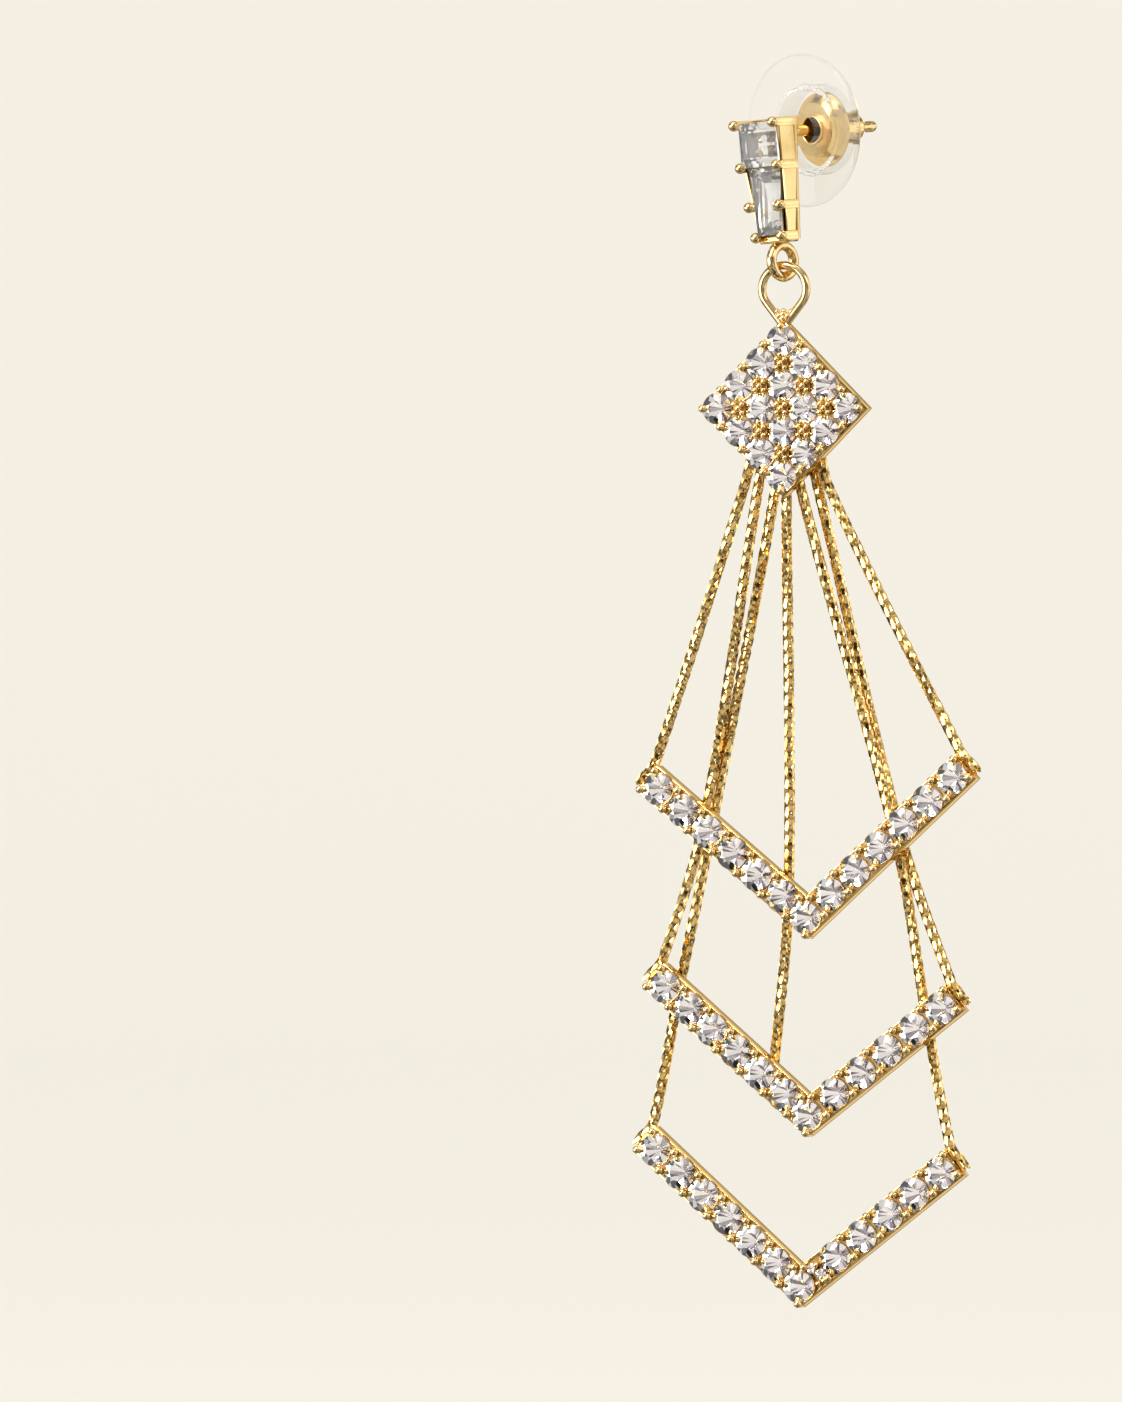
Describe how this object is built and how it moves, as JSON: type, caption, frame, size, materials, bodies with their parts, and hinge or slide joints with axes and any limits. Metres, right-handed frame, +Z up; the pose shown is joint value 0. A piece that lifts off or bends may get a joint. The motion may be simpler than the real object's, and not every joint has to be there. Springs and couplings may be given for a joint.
{
  "type": "chandelier earring",
  "caption": "Pierced-ear stud with a clear-backed clutch, from which a stone-set square hangs with fine chains and stone-set V bars.",
  "frame": {"origin": "on the ear post's axis, in the middle of the gap between the head's back and the clear disc, where the lobe is", "axes": "+Z up, along which the drop hangs; the stones of the stud face -Y and the post's end points to +Y; +X is the viewer's right"},
  "size_m": [0.024, 0.0158, 0.0898],
  "materials": {
    "polished_gold": "polished yellow gold plating",
    "satin_gold": "satin yellow gold plating",
    "chain_gold": "bright yellow gold plating on fine links",
    "clear_stone": "faceted and clear",
    "clear_plastic": "clear and slightly milky"
  },
  "bodies": {
    "stud": {"stud_setting": "polished_gold", "square_stone": "clear_stone", "baguette_stone": "clear_stone", "clutch_barrel": "satin_gold", "clutch_disc": "clear_plastic"},
    "drop": {"pave_square": "polished_gold", "v_bar_upper": "polished_gold", "v_bar_middle": "polished_gold", "v_bar_lower": "polished_gold", "chain_upper_left": "chain_gold", "chain_middle_left": "chain_gold", "chain_lower_left": "chain_gold", "chain_centre": "chain_gold", "chain_lower_right": "chain_gold", "chain_middle_right": "chain_gold", "chain_upper_right": "chain_gold"}
  },
  "joints": [
    {"name": "drop_sway", "type": "hinge", "parent": "stud", "child": "drop", "pos_m": [0.00064, -0.00124, -0.01044], "axis": [0, 1, 0], "range_deg": [-40, 40]}
  ]
}
